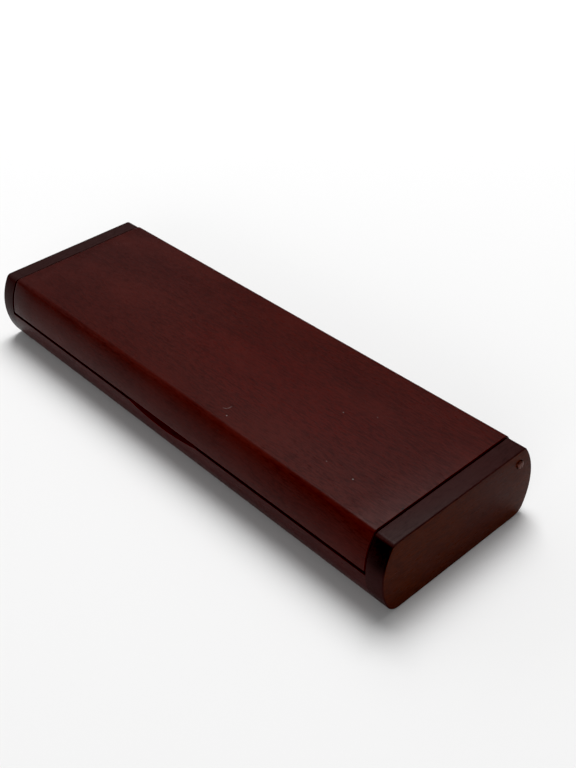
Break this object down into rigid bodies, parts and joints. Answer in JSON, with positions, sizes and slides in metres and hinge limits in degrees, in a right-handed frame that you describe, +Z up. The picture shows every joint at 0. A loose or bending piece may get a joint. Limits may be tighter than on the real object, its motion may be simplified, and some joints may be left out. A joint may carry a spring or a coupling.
{
  "type": "hinged-lid presentation case",
  "caption": "Slim dark hardwood case with rounded long sides; its moulded lid swings up on hidden pins between two end blocks, over a lined tray with troughs.",
  "frame": {"origin": "middle of the closed case's underside, where it stands on a table", "axes": "+X along the case to the end block called near, -Y to the side that opens, +Y to the pivot side, +Z up through the lid"},
  "size_m": [0.1852, 0.059, 0.0245],
  "materials": {
    "wood_base": "dark red-brown satin lacquer",
    "wood_end_block": "dark red-brown satin lacquer, grain across the case",
    "wood_lid": "dark red-brown satin lacquer, fine lengthwise grain",
    "dowel_beech": "bare",
    "pin_copper": "dull copper wash",
    "magnet_nickel": "bright nickel",
    "plate_steel": "plain steel",
    "flock_black": "short-pile flock",
    "satin_ivory": "padded satin"
  },
  "bodies": {
    "case": {"base_shell": "wood_base", "end_block_near": "wood_end_block", "end_block_far": "wood_end_block", "dowel_near_front": "dowel_beech", "dowel_near_back": "dowel_beech", "dowel_far_front": "dowel_beech", "dowel_far_back": "dowel_beech", "pivot_pin_near": "pin_copper", "pivot_pin_far": "pin_copper", "magnet_near": "magnet_nickel", "magnet_far": "magnet_nickel", "lined_tray": "flock_black"},
    "lid": {"lid_shell": "wood_lid", "catch_plate_near": "plate_steel", "catch_plate_far": "plate_steel", "lid_pad": "satin_ivory"}
  },
  "joints": [
    {"name": "lid_hinge", "type": "hinge", "parent": "case", "child": "lid", "pos_m": [0, 0.0235, 0.0194], "axis": [-1, 0, 0], "range_deg": [0, 128]}
  ]
}
